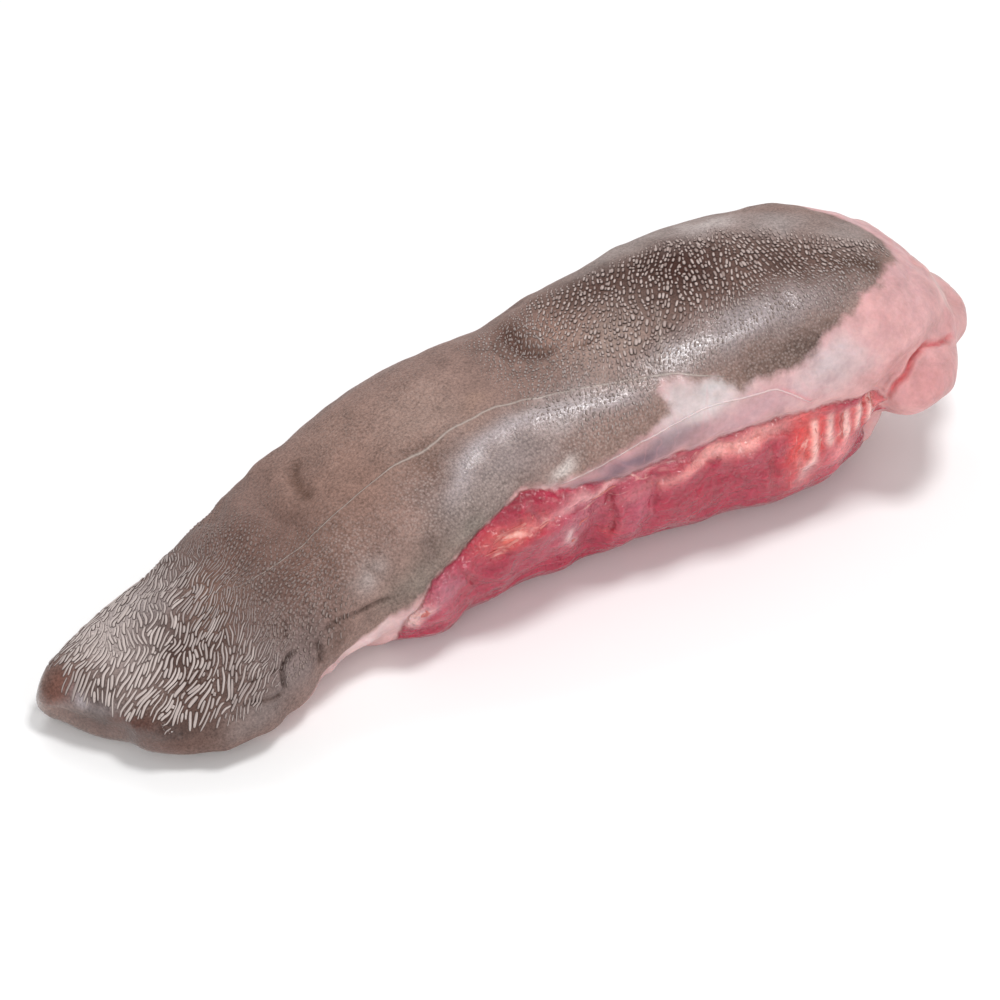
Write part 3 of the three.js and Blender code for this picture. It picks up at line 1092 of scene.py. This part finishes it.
def relax(mesh: bpy.types.Mesh, rounds: int) -> None:
    """Smooth a net without shrinking it.

    Args:
        mesh: The mesh.
        rounds: How many times each vertex moves towards its neighbours and part of the way back.
    """
    points = coords(mesh)
    count = len(points)
    ends = np.empty(len(mesh.edges) * 2, np.int32)
    mesh.edges.foreach_get("vertices", ends)
    first, second = ends.reshape(-1, 2).T
    meets = np.bincount(first, minlength=count) + np.bincount(second, minlength=count)
    for step in range(rounds * 2):
        pull = PULLS[step % 2]
        for axis in range(3):
            line = points[:, axis]
            total = np.bincount(first, line[second], count) + np.bincount(second, line[first], count)
            points[:, axis] = line + pull * (total / meets - line)
    set_coords(mesh, points)


@dataclass(frozen=True)
class PapillaFinish:
    """The horny tips of the papillae: dry, tan to pinkish grey, paler at the crest where they are worn, and
    darkened towards the foot with painted shade where they meet the skin.
    """

    name: str
    # The colour at the foot: painted shade where the papilla meets the skin.
    shaded_foot: str
    crest: str
    worn: str
    roughness: float = 0.46

    def material(self) -> bpy.types.Material:
        """Make the material. It reads how high each point is on its papilla, and how worn the papilla is."""
        material, node = blank_material(self.name)
        place = node("TexCoord", {}, "Object")
        high = node("Attribute", {}, "Fac", attribute_name="crest_share")
        worn = node("Attribute", {}, "Fac", attribute_name="worn_share")
        crest = node("Mix", {0: worn, 6: self.crest, 7: self.worn}, **RGBA)
        # From the painted shade at the foot up to the crest's colour.
        rise = node("MapRange", [high, 0.15, 0.75], **SMOOTH)
        colour = node("Mix", {0: rise, 6: self.shaded_foot, 7: crest}, **RGBA)
        grain = node("TexNoise", {"Vector": place, "Scale": 1 / (0.4 * MM), "Detail": 2.0})
        bump = node("Bump", {"Height": grain, "Distance": 0.12 * MM})
        looks = {"Base Color": colour, "Roughness": self.roughness, "IOR": 1.45, "Normal": bump}
        node("OutputMaterial", {"Surface": node("BsdfPrincipled", looks)})
        return material


def straight_grain(sides: int, rings: int, blunt: float) -> tuple[bpy.types.Mesh, Array]:
    """One straight grain of unit size.

    Args:
        sides: Faces round it.
        rings: Faces along it.
        blunt: 1 makes an egg, less makes its ends fuller.

    Returns:
        Its mesh, and its points: along from -0.5 to 0.5, sideways and up.
    """
    bm = bmesh.new()
    bmesh.ops.create_uvsphere(bm, u_segments=sides, v_segments=rings, radius=0.5)
    bmesh.ops.rotate(bm, verts=bm.verts, matrix=Matrix.Rotation(math.pi / 2, 3, "Y"))
    bmesh.ops.recalc_face_normals(bm, faces=bm.faces)
    mesh = finished_mesh(bm, "grain")
    shape = coords(mesh)
    waist = np.sqrt(np.maximum(1 - 4 * shape[:, 0] ** 2, 1e-4))[:, None]
    shape[:, 1:] *= waist ** (blunt - 1)
    return mesh, shape


def grown(template: bpy.types.Mesh, shapes: Sequence[Array], name: str) -> bpy.types.Mesh:
    """Join copies of a mesh.

    Args:
        template: The mesh.
        shapes: The points of each copy, in metres.
        name: The joined mesh's name.

    Returns:
        The joined mesh.
    """
    bm = bmesh.new()
    for points in shapes:
        template.vertices.foreach_set("co", points.astype(np.float32).ravel())
        bm.from_mesh(template)
    return finished_mesh(bm, name)


def lay_along(shape: Array, hits: Sequence[tuple[Any, ...]], wide: float, tall: float) -> Array:
    """Bend a straight grain along points on the skin, half sunk in it.

    Args:
        shape: The straight grain's points.
        hits: The points in metres that it follows, each with the skin's normal after it.
        wide: Its width in millimetres.
        tall: How far it stands proud, in millimetres.

    Returns:
        The bent grain's points in metres.
    """
    points = np.array([tuple(hit[0]) for hit in hits]) / MM
    share, steps = shape[:, 0] + 0.5, np.linspace(0, 1, len(points))
    ahead = np.gradient(points, axis=0)
    up = np.array([tuple(hit[1]) for hit in hits])
    side = np.cross(up, ahead)
    side /= np.maximum(np.linalg.norm(side, axis=1), 1e-6)[:, None]
    middle, side, up = (
        np.stack([np.interp(share, steps, line[:, i]) for i in range(3)], axis=1) for line in (points, side, up)
    )
    return (middle + side * shape[:, 1:2] * wide + up * shape[:, 2:3] * tall * 2) * MM


@dataclass
class PapillaField:
    """Papillae in rows over a part of the back, seen from above. Each is a low grain bent along its row."""

    name: str
    finish: PapillaFinish
    low: tuple[float, float]
    high: tuple[float, float]
    spacing: float
    length: tuple[float, float]
    gap: float
    wide: float
    tall: float
    sides: int = 6
    rings: int = 4
    step: float = 0.5
    blunt: float = 0.7
    merge: float = 0.8
    jitter: float = 0.08
    seed: int = 7
    spine: Spine = field(default_factory=Spine)

    def heading(self, spots: Array) -> Array:
        """Degrees from +X in which the rows run, at flat spots."""
        raise NotImplementedError

    def size(self, spots: Array, turn: Array, inside: Array) -> Array:
        """The share of full size of a papilla at flat spots.

        Args:
            spots: The flat spots.
            turn: How far round each is.
            inside: Millimetres that each is inside the pigment's edge.

        Returns:
            A share for each spot.
        """
        raise NotImplementedError

    def crowding(self, spots: Array) -> Array:
        """The share of the full spacing at flat spots."""
        return np.ones(len(spots))

    def wear(self, spot: Array, chance: np.random.Generator) -> float:
        """How worn and pale the papilla at a flat spot is, from 0 to 1."""
        return chance.random()

    def build(self, body: bpy.types.Object) -> bpy.types.Object:
        """Grow the papillae on the body.

        Args:
            body: The finished body.

        Returns:
            The papillae as one piece.
        """
        self._tree = ray_tree(body.data)
        self._survey()
        chance = np.random.default_rng(self.seed)
        template, shape = straight_grain(self.sides, self.rings, self.blunt)
        grains, worn = [], []
        for row in self._rows():
            for part in self._parts(row, chance):
                points = self._bend(shape, part, chance)
                if points is not None:
                    grains.append(points)
                    worn.append(self.wear(part[0], chance))
        mesh = grown(template, grains, self.name)
        write(mesh, "crest_share", np.tile(np.clip(shape[:, 2] * 2, 0, 1), len(worn)))
        write(mesh, "worn_share", np.repeat(worn, len(shape)))
        dress(mesh, self.finish.material())
        return new_object(self.name, mesh)

    def _drop(self, x: float, y: float) -> tuple[Any, ...]:
        """Where a plumb line at a flat spot meets the body, and the normal there."""
        return self._tree.ray_cast(Vector((x * MM, y * MM, OVERHEAD)), DOWN)

    def _survey(self) -> None:
        """Note the surface's height, the rows' heading, the size and the spacing on a net of one millimetre."""
        xs = np.arange(self.low[0], self.high[0] + 1)
        ys = np.arange(self.low[1], self.high[1] + 1)
        grid = np.array([(x, y) for x in xs for y in ys])
        down = [self._drop(x, y) for x, y in grid]
        height = np.array([hit[0].z / MM if hit[0] else NOWHERE for hit in down])
        slope = np.array([hit[1].z if hit[0] else 0.0 for hit in down])
        turn = self.spine.turn(np.column_stack([grid, height]))
        inside = PIGMENTED.inside(grid[:, 0], turn, self.spine)
        size = np.where(slope > STEEPEST, self.size(grid, turn, inside), 0)
        angle = np.radians(self.heading(grid))
        apart = self.spacing * self.crowding(grid)
        found = {"size": size, "x": np.cos(angle), "y": np.sin(angle), "apart": apart}
        self._net = {name: values.reshape(len(xs), len(ys)) for name, values in found.items()}

    def _read(self, name: str, x: float, y: float) -> float:
        """Read the survey at a spot."""
        net = self._net[name]
        i = min(max(x - self.low[0], 0.0), net.shape[0] - 1.001)
        j = min(max(y - self.low[1], 0.0), net.shape[1] - 1.001)
        a, b = int(i), int(j)
        u, v = i - a, j - b
        low, high = (net[i, b] * (1 - v) + net[i, b + 1] * v for i in (a, a + 1))
        return float(low * (1 - u) + high * u)

    def _rows(self) -> list[Array]:
        """Rows that fill the part evenly.

        Returns:
            The flat spots along each row, one step apart.
        """
        cell = self.spacing
        taken: dict[tuple[int, int], list[tuple[float, float]]] = {}

        def near(x: float, y: float, reach: float) -> bool:
            """Tell if another row is within reach of a spot."""
            a, b = int(x // cell), int(y // cell)
            for i in (a - 1, a, a + 1):
                for j in (b - 1, b, b + 1):
                    if any((x - p) ** 2 + (y - q) ** 2 < reach * reach for p, q in taken.get((i, j), ())):
                        return True
            return False

        rows = []
        xs = np.arange(self.low[0] + 1, self.high[0], self.spacing * 0.6)
        ys = np.arange(self.low[1] + 1, self.high[1], self.spacing * 0.6)
        middle = (self.low[1] + self.high[1]) / 2
        for x0 in xs:
            for y0 in sorted(ys, key=lambda y: abs(y - middle)):
                if self._read("size", x0, y0) < 0.2 or near(x0, y0, self._read("apart", x0, y0) * 0.86):
                    continue
                halves = []
                for way in (1, -1):
                    x, y, half = x0, y0, []
                    for _ in range(400):
                        half.append((x, y))
                        x += way * self.step * self._read("x", x, y)
                        y += way * self.step * self._read("y", x, y)
                        out = not (self.low[0] < x < self.high[0] and self.low[1] < y < self.high[1])
                        reach = self._read("apart", x, y) * self.merge
                        if out or self._read("size", x, y) < 0.15 or near(x, y, reach):
                            break
                    halves.append(half)
                row = halves[1][:0:-1] + halves[0]
                for spot in row:
                    taken.setdefault((int(spot[0] // cell), int(spot[1] // cell)), []).append(spot)
                rows.append(np.array(row))
        return rows

    def _parts(self, row: Array, chance: np.random.Generator) -> list[Array]:
        """Break a row into papillae."""
        parts = []
        start = int(chance.uniform(0, self.length[0]) / self.step)
        while start < len(row) - 2:
            size = self._read("size", *row[start])
            long = chance.uniform(*self.length) * (0.35 + 0.65 * size)
            count = max(2, int(round(long / self.step)))
            part = row[start : start + count + 1]
            if len(part) > 2:
                parts.append(part)
            start += count + max(1, int(round(self.gap * chance.uniform(0.4, 1.8) / self.step)))
        return parts

    def _bend(self, shape: Array, part: Array, chance: np.random.Generator) -> Array | None:
        """Bend one grain along its part of a row and set it on the skin.

        Args:
            shape: The straight grain: along, sideways and up.
            part: The flat spots that it follows.
            chance: The random draws.

        Returns:
            The bent grain's points in metres, or None where there is no skin.
        """
        picks = np.linspace(0, len(part) - 1, self.rings // 2 + 1).round().astype(int)
        hits = [self._drop(x, y) for x, y in part[picks] + chance.normal(0, self.jitter, 2)]
        if any(hit[0] is None or hit[1].z < 0.2 for hit in hits):
            return None
        size = self._read("size", *part[len(part) // 2]) * float(np.clip(1 + chance.normal(0, 0.2), 0.6, 1.5))
        return lay_along(shape, hits, self.wide * self._read("apart", *part[0]) * size, self.tall * size)


class TipRidges(PapillaField):
    """The fingerprint of long pale ridges over the front of the blade."""

    def heading(self, spots: Array) -> Array:
        """The ridges run across the blade, and turn along it at the near front."""
        turn_in = eased(-spots[:, 0], 122, 142) * eased(-spots[:, 1], 8, 32)
        waves = 14 * flat_noise(spots, 17, 51) + 20 * flat_noise(spots, 6, 52) + 26 * flat_noise(spots, 2.8, 57)
        return 46 - 20 * turn_in + waves

    def size(self, spots: Array, turn: Array, inside: Array) -> Array:
        """Full from the smooth front band to the middle of the blade."""
        ragged = 3 * flat_noise(spots, 6, 58)
        rim = self._from_front(*spots.T) + ragged
        front = np.where(turn > -10, eased(rim, 4, 11), eased(rim, 1, 4))
        back = 1 - 0.85 * eased(spots[:, 0] + ragged, -118, -98)
        return front * back * sinking(np.abs(turn + ragged), 68, 90)

    def crowding(self, spots: Array) -> Array:
        """The ridges stand closer behind the front."""
        return 1 - 0.3 * eased(spots[:, 0], -132, -108)

    def wear(self, spot: Array, chance: np.random.Generator) -> float:
        """The ridges are palest at the front."""
        pale = (-110 - spot[0]) / 28 + chance.normal(0, 0.2)
        side = 0.85 + 0.15 * np.clip((spot[1] + 18) / 18, 0, 1)
        return float(np.clip(pale * side * np.clip((self._from_front(*spot) - 5) / 10, 0, 1), 0, 1))

    def _from_front(self, x: Array, y: Array) -> Array:
        """Millimetres behind the round front edge of the ridges."""
        return 50 - np.hypot(x + 121, (y + 10) * 1.12)


class BladePapillae(TipRidges):
    """The short papillae behind the ridges, which run out over the middle of the blade."""

    def size(self, spots: Array, turn: Array, inside: Array) -> Array:
        """Full where the ridges end, fading towards the middle of the tongue and down its sides."""
        ragged = 5 * flat_noise(spots, 8, 61)
        x = spots[:, 0] + ragged
        back = np.interp(turn, [-60, 0, 40, 80], [-92, -84, -76, -80])
        return eased(x, -112, -103) * sinking(x - back, -14, 12) * sinking(np.abs(turn) + ragged, 76, 94)

    def crowding(self, spots: Array) -> Array:
        """The same spacing throughout."""
        return np.ones(len(spots))


class HumpPapillae(PapillaField):
    """The large papillae on the dark top of the hump, in columns that lean over towards the root."""

    def heading(self, spots: Array) -> Array:
        """The columns lean to the far side, and sweep round along the near shoulder behind the middle."""
        x, y = spots.T
        sweep = 18 * eased(x, 50, 90) + 50 * eased(x, 54, 86) * eased(-y, 2, 18)
        return 56 + sweep + 16 * flat_noise(spots, 15, 53) + 20 * flat_noise(spots, 4.5, 54)

    def size(self, spots: Array, turn: Array, inside: Array) -> Array:
        """Full on the top, fading towards the blade, the shoulder and the far side."""
        x = spots[:, 0]
        ragged = 5 * flat_noise(spots, 7, 59)
        shoulder = 32 - 10 * eased(x, 40, 66) + ragged
        far = np.interp(x, [30, 58, 86, 104, 120], [38, 30, 19, 6, -4]) + 0.6 * ragged
        top = sinking(turn, shoulder - 10, shoulder + 8) * sinking(-turn, far - 6, far + 5)
        return eased(inside, 0, 5) * eased(x + ragged, -4, 34) * top


class FinePapillae(PapillaField):
    """The small papillae round the large ones."""

    def heading(self, spots: Array) -> Array:
        """The rows run across the tongue."""
        waves = 16 * flat_noise(spots, 14, 55) + 22 * flat_noise(spots, 4, 56)
        return 64 + waves + 30 * eased(spots[:, 0], 60, 100)

    def size(self, spots: Array, turn: Array, inside: Array) -> Array:
        """Full beside the large papillae, fading down the shoulder."""
        x = spots[:, 0]
        below = turn - 32 + 10 * eased(x, 40, 66)
        front = between(x, -14, 0, 12, 26) * sinking(np.abs(turn - 2), 26, 44)
        return np.maximum(between(below, -8, 2, 8, 26) * eased(x, -6, 12), front) * eased(inside, 0, 5)


@dataclass(frozen=True)
class FatFinish:
    """Raw beef fat and gristle: off-white to pink, wet, and light goes some way into it."""

    name: str = "raw_fat"
    pale: str = "#cf8078"
    pink: str = "#bd4e4c"

    def material(self) -> bpy.types.Material:
        """Make the material."""
        material, node = blank_material(self.name)
        place = node("TexCoord", {}, "Object")
        cloud = node("TexNoise", {"Vector": place, "Scale": 1 / (3 * MM), "Detail": 3.0})
        share = node("MapRange", [cloud, 0.35, 0.65])
        looks = {
            "Base Color": node("Mix", {0: share, 6: self.pink, 7: self.pale}, **RGBA),
            "Normal": node("Bump", {"Height": cloud, "Distance": 0.3 * MM}),
            "Roughness": 0.28,
            "IOR": 1.46,
            "Subsurface Weight": 0.35,
            "Subsurface Radius": (1.0, 0.6, 0.5),
            "Subsurface Scale": 1.5 * MM,
        }
        node("OutputMaterial", {"Surface": node("BsdfPrincipled", looks)})
        return material


@dataclass
class FatStrands:
    """Strands of fat and gristle that lie on the bare muscle, as flat ribbons with fine ends."""

    name: str
    finish: FatFinish
    sides: int = 6
    rings: int = 10
    blunt: float = 0.8
    tall: float = 0.12
    knots: int = 7
    seed: int = 5
    spine: Spine = field(default_factory=Spine)

    def build(self, body: bpy.types.Object) -> bpy.types.Object:
        """Lay the strands on the body.

        Args:
            body: The finished body.

        Returns:
            The strands as one piece.
        """
        tree = ray_tree(body.data)
        template, shape = straight_grain(self.sides, self.rings, self.blunt)
        near = self._paths(np.random.default_rng(self.seed))
        far = [([(x + FAR_SHIFT, -turn) for x, turn in path], wide) for path, wide in near]
        strands = []
        for path, wide in (*near, *far):
            hits = [tree.ray_cast(*self.spine.ray(*place)) for place in path]
            bare = BARE_MUSCLE.inside(*np.array(path).T, self.spine)
            if bare.min() > 0.5 and all(hit[0] is not None for hit in hits):
                strands.append(lay_along(shape, hits, wide, self.tall))
        mesh = grown(template, strands, self.name)
        dress(mesh, self.finish.material())
        return new_object(self.name, mesh)

    def _paths(self, chance: np.random.Generator) -> list[tuple[Array, float]]:
        """The places that each strand follows on the near side, and its width.

        Args:
            chance: The random draws.

        Returns:
            A path and a width in millimetres for each strand.
        """
        draw = chance.uniform
        runs = [((x, 84 + draw(-1, 6)), (x + draw(1, 4), draw(98, 112))) for x in (84.5, 95.5, 106)]
        runs += [((x, 76 + draw(-1, 3)), (x + draw(5, 12), 78 + draw(-2, 7))) for x in (4, 21)]
        runs += [((draw(-36, -28), 74 + up), (draw(-20, -10), 71 + up + draw(-3, 3))) for up in (0, 4, 10)]
        runs += [((draw(-8, 2), draw(94, 104)), (draw(-4, 8), draw(92, 106))) for _ in range(2)]
        runs += [((draw(-60, -54), draw(98, 108)), (draw(-58, -48), draw(94, 108))) for _ in range(2)]
        share = np.linspace(0, 1, self.knots)
        paths = []
        for start, end in np.array(runs):
            bow = np.sin(share * math.pi) * chance.normal(0, 1.2)
            off = bow + chance.normal(0, 0.3, self.knots)
            paths.append((start + np.outer(share, end - start) + off[:, None], draw(0.9, 1.8)))
        return paths


@dataclass(frozen=True)
class Studio:
    """A pale floor, soft lights and the camera at the photograph's angle."""

    azimuth: float = -30.0
    elevation: float = 40.0
    distance: float = 950.0
    lens: float = 106.5
    target: Sequence[float] = (-9, -2.5, 22)
    floor_half: float = 4.0
    sky: float = 0.4
    lights: Sequence[tuple[str, Sequence[float], float, float]] = (
        ("key", (190, -90, 980), 240, 5.0),
        ("fill", (-700, -550, 480), 600, 2.1),
        ("back", (150, 850, 850), 600, 3.9),
        ("low", (130, -940, 290), 130, 3.0),
    )

    def build(self) -> None:
        """Set up the floor, the lights, the world and the camera."""
        bm = bmesh.new()
        bmesh.ops.create_grid(bm, x_segments=1, y_segments=1, size=self.floor_half)
        floor = new_object("floor", finished_mesh(bm, "floor"))
        paper = bpy.data.materials.new("white_paper")
        paper.use_nodes = True
        sheet = paper.node_tree.nodes["Principled BSDF"].inputs
        sheet["Base Color"].default_value = (0.95, 0.95, 0.95, 1)
        sheet["Roughness"].default_value = 0.9
        floor.data.materials.append(paper)
        for light in self.lights:
            self._light(*light)
        world = bpy.data.worlds.new("studio")
        world.use_nodes = True
        sky = world.node_tree.nodes["Background"].inputs
        sky["Color"].default_value = (1, 1, 1, 1)
        sky["Strength"].default_value = self.sky
        bpy.context.scene.world = world
        bpy.context.scene.view_settings.view_transform = "Standard"
        self._camera()

    def _light(self, name: str, place: Sequence[float], size: float, power: float) -> None:
        """Hang a square soft box that faces the tongue."""
        lamp = bpy.data.lights.new(name, "AREA")
        lamp.shape, lamp.size, lamp.energy = "SQUARE", size * MM, power
        thing = bpy.data.objects.new(name, lamp)
        thing.location = Vector(place) * MM
        thing.rotation_euler = (Vector(self.target) - Vector(place)).to_track_quat("-Z", "Y").to_euler()
        bpy.context.scene.collection.objects.link(thing)

    def _camera(self) -> None:
        """Place the camera."""
        turn, lift = math.radians(self.azimuth), math.radians(self.elevation)
        back = Vector((math.sin(turn) * math.cos(lift), -math.cos(turn) * math.cos(lift), math.sin(lift)))
        lens = bpy.data.cameras.new("camera")
        lens.lens, lens.sensor_width, lens.clip_end = self.lens, 36.0, 20.0
        camera = bpy.data.objects.new("camera", lens)
        camera.location = (Vector(self.target) + back * self.distance) * MM
        camera.rotation_euler = (-back).to_track_quat("-Z", "Y").to_euler()
        bpy.context.scene.collection.objects.link(camera)
        bpy.context.scene.camera = camera


def settle(piece: bpy.types.Object) -> None:
    """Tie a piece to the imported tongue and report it."""
    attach(piece, "root")
    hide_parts("tongue")
    corners = np.array(piece.bound_box) / MM
    triangles = sum(len(p.vertices) - 2 for p in piece.data.polygons)
    low, high = corners.min(0).round(1), corners.max(0).round(1)
    log.info("%s: %d triangles, from %s to %s mm", piece.name, triangles, low, high)


def main() -> None:
    """Build the tongue and the studio."""
    logging.basicConfig(level=logging.INFO, format="%(relativeCreated)d ms %(name)s: %(message)s")
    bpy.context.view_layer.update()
    body = TongueBody().build(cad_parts["tongue"])
    settle(body)
    # Each finish's first colour is the papilla's foot, darkened as painted shade where it meets the skin.
    ridge_horn = PapillaFinish("ridge_horn", "#33211c", "#938480", "#bfb1ac", 0.42)
    blade_horn = PapillaFinish("blade_horn", "#43322c", "#85746e", "#ac9e9b", 0.42)
    papilla_horn = PapillaFinish("papilla_horn", "#2a1915", "#8a7670", "#b8a6a0", 0.34)
    velvet_horn = PapillaFinish("velvet_horn", "#55443e", "#84756f", "#a89c99", 0.3)
    fields = (
        TipRidges(
            "tip_ridges", ridge_horn, (-172, -58), (-97, 38), 1.12, (2.6, 9.5), 0.1, 0.94, 0.42,
            rings=12, blunt=0.4, merge=0.72, jitter=0.03,
        ),
        BladePapillae(
            "blade_papillae", blade_horn, (-122, -58), (-62, 38), 1.12, (0.9, 2.2), 0.3, 0.74, 0.3,
            sides=5, rings=3, step=0.35, jitter=0.1,
        ),
        HumpPapillae(
            "hump_papillae", papilla_horn, (-8, -42), (140, 46), 1.42, (1.0, 3.1), 0.3, 0.8, 0.6,
            merge=0.7, jitter=0.2,
        ),
        FinePapillae(
            "fine_papillae", velvet_horn, (-16, -44), (128, 34), 1.2, (0.8, 2.0), 0.35, 0.66, 0.3,
            sides=5, rings=3, step=0.35, jitter=0.24,
        ),
    )
    for papillae in fields:
        settle(papillae.build(body))
    settle(FatStrands("fat_strands", FatFinish()).build(body))
    Studio().build()


if __name__ == "__main__":
    main()
